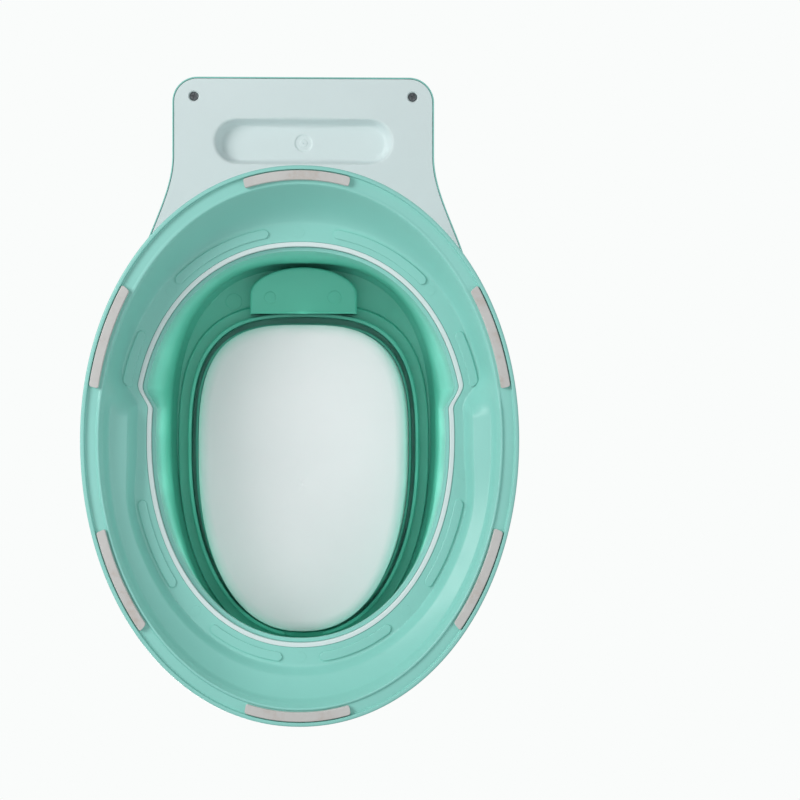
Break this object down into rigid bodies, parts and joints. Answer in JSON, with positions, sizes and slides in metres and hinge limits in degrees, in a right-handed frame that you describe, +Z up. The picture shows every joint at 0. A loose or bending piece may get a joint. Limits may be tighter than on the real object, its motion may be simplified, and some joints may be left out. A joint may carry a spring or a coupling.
{
  "type": "potty training chair",
  "caption": "Toilet-shaped potty chair with a flared base, waisted pedestal, backrest and a lift-out bowl.",
  "frame": {"origin": "on the floor below the centre of the chair's overall box", "axes": "+Z up, -Y towards the front edge of the seat, +Y towards the backrest, +X to the right of someone facing +Y"},
  "size_m": [0.2828, 0.444, 0.345],
  "materials": {
    "mint_plastic": "satin moulded polypropylene",
    "white_plastic": "fine satin moulded polypropylene",
    "frosted_plastic": "milky natural polypropylene",
    "strip_rubber": "matt thermoplastic rubber",
    "screw_steel": "zinc-plated"
  },
  "bodies": {
    "chair": {"base_ring": "mint_plastic", "grip_strip_front": "strip_rubber", "grip_strip_rear": "strip_rubber", "grip_strip_front_left": "strip_rubber", "grip_strip_front_right": "strip_rubber", "grip_strip_rear_left": "strip_rubber", "grip_strip_rear_right": "strip_rubber", "pedestal": "white_plastic", "seat_shell": "mint_plastic", "back_shell": "mint_plastic", "back_cover": "white_plastic", "back_screw_left": "screw_steel", "back_screw_right": "screw_steel"},
    "bowl": {"bowl": "frosted_plastic", "bowl_collar": "mint_plastic"},
    "guard": {"splash_guard": "mint_plastic"}
  },
  "joints": [
    {"name": "bowl_lift", "type": "slide", "parent": "chair", "child": "bowl", "axis": [0, 0, 1], "range_m": [0, 0.13]},
    {"name": "guard_lift", "type": "slide", "parent": "bowl", "child": "guard", "axis": [0, 0, 1], "range_m": [0, 0.05]}
  ]
}
